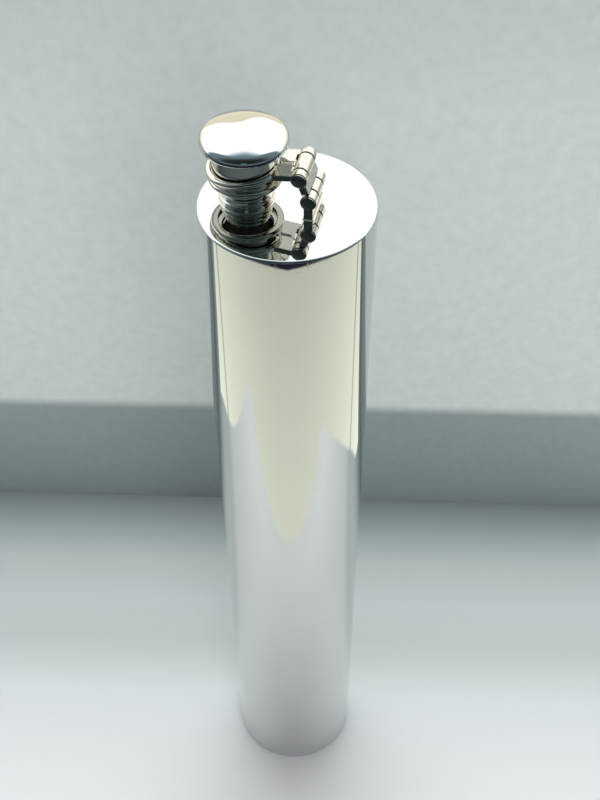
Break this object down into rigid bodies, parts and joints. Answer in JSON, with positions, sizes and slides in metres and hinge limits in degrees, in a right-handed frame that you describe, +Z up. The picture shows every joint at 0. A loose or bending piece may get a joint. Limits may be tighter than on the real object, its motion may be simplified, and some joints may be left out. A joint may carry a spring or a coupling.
{
  "type": "flask",
  "caption": "Tall round pewter flask with an off-centre threaded neck and a mushroom cap held captive by a split ring on a double-hinged arm.",
  "frame": {"origin": "centre of the foot, on the surface that the flask stands on", "axes": "+Z up the body's axis; the neck lies towards -X of it and the hinge arm points along +X; hinge axes run along Y"},
  "size_m": [0.044, 0.044, 0.2746],
  "materials": {
    "pewter": "mirror-polished pewter, faintly warm",
    "pewter_fittings": "polished cast pewter with darker crevices",
    "seal": "matt black rubber disc"
  },
  "bodies": {
    "flask": {"body_wall": "pewter", "top_plate": "pewter", "base_plate": "pewter", "neck": "pewter_fittings", "hinge_bracket": "pewter_fittings", "lower_hinge_pin": "pewter_fittings"},
    "link": {"hinge_link": "pewter_fittings"},
    "ring": {"cap_ring": "pewter_fittings", "upper_hinge_pin": "pewter_fittings"},
    "seal": {"cap_seal": "seal"},
    "cap": {"cap_barrel": "pewter_fittings", "cap_crown": "pewter"}
  },
  "joints": [
    {"name": "lower_hinge", "type": "hinge", "parent": "flask", "child": "link", "pos_m": [0.00636, 0, 0.25887], "axis": [0, 1, 0], "range_deg": [0, 90]},
    {"name": "upper_hinge", "type": "hinge", "parent": "link", "child": "ring", "pos_m": [0.00405, 0, 0.265], "axis": [0, 1, 0], "range_deg": [0, 80]},
    {"name": "cap_lift", "type": "slide", "parent": "ring", "child": "seal", "axis": [0, 0, 1], "range_m": [-0.0037, 0]},
    {"name": "cap_turn", "type": "hinge", "parent": "seal", "child": "cap", "pos_m": [-0.01005, 0, 0.2596], "axis": [0, 0, 1], "range_deg": [-889, 0]}
  ],
  "couplings": [
    {"joint": "cap_turn", "follows": "cap_lift", "rad_per_m": 4188.8}
  ]
}
